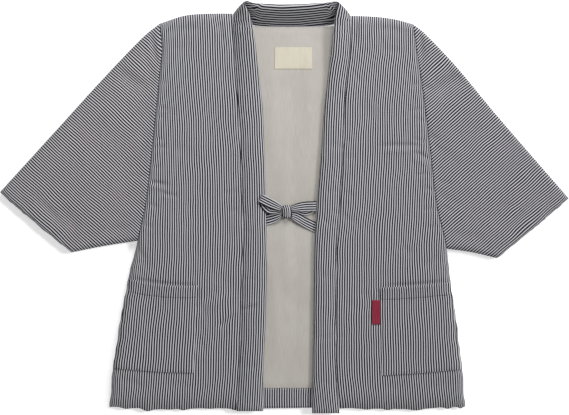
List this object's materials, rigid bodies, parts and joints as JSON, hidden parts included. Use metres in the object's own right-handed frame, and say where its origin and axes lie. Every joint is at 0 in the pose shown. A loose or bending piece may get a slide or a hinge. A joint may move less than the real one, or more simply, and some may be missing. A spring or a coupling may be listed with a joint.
{
  "type": "hanten",
  "caption": "Short padded jacket laid flat on its back, with straight open sleeves, a long collar band, two patch pockets, a cream lining and a cloth tie in a bow.",
  "frame": {"origin": "middle of the jacket's bounding box, on the flat underside that rests on the surface", "axes": "+X along the sleeves towards the viewer's right, +Y from the hem towards the collar, +Z out of the surface, through the jacket's front"},
  "size_m": [1.0766, 0.7786, 0.0478],
  "materials": {
    "striped_cotton": "matte narrow dark and light stripes, padded",
    "cream_cotton": "matte plain cotton",
    "label_cloth": "woven label, left bare",
    "red_tab": "woven tab, left bare"
  },
  "bodies": {
    "root": {"back": "striped_cotton", "front_left": "striped_cotton", "front_right": "striped_cotton", "sleeve_left": "striped_cotton", "sleeve_right": "striped_cotton", "collar": "striped_cotton", "pocket_left": "striped_cotton", "pocket_right": "striped_cotton", "lining": "cream_cotton", "hem_facing": "striped_cotton", "neck_label": "label_cloth", "pocket_tab": "red_tab", "tie_left": "striped_cotton", "tie_right": "striped_cotton", "bow_left": "striped_cotton", "bow_right": "striped_cotton", "bow_knot": "striped_cotton"}
  },
  "joints": []
}
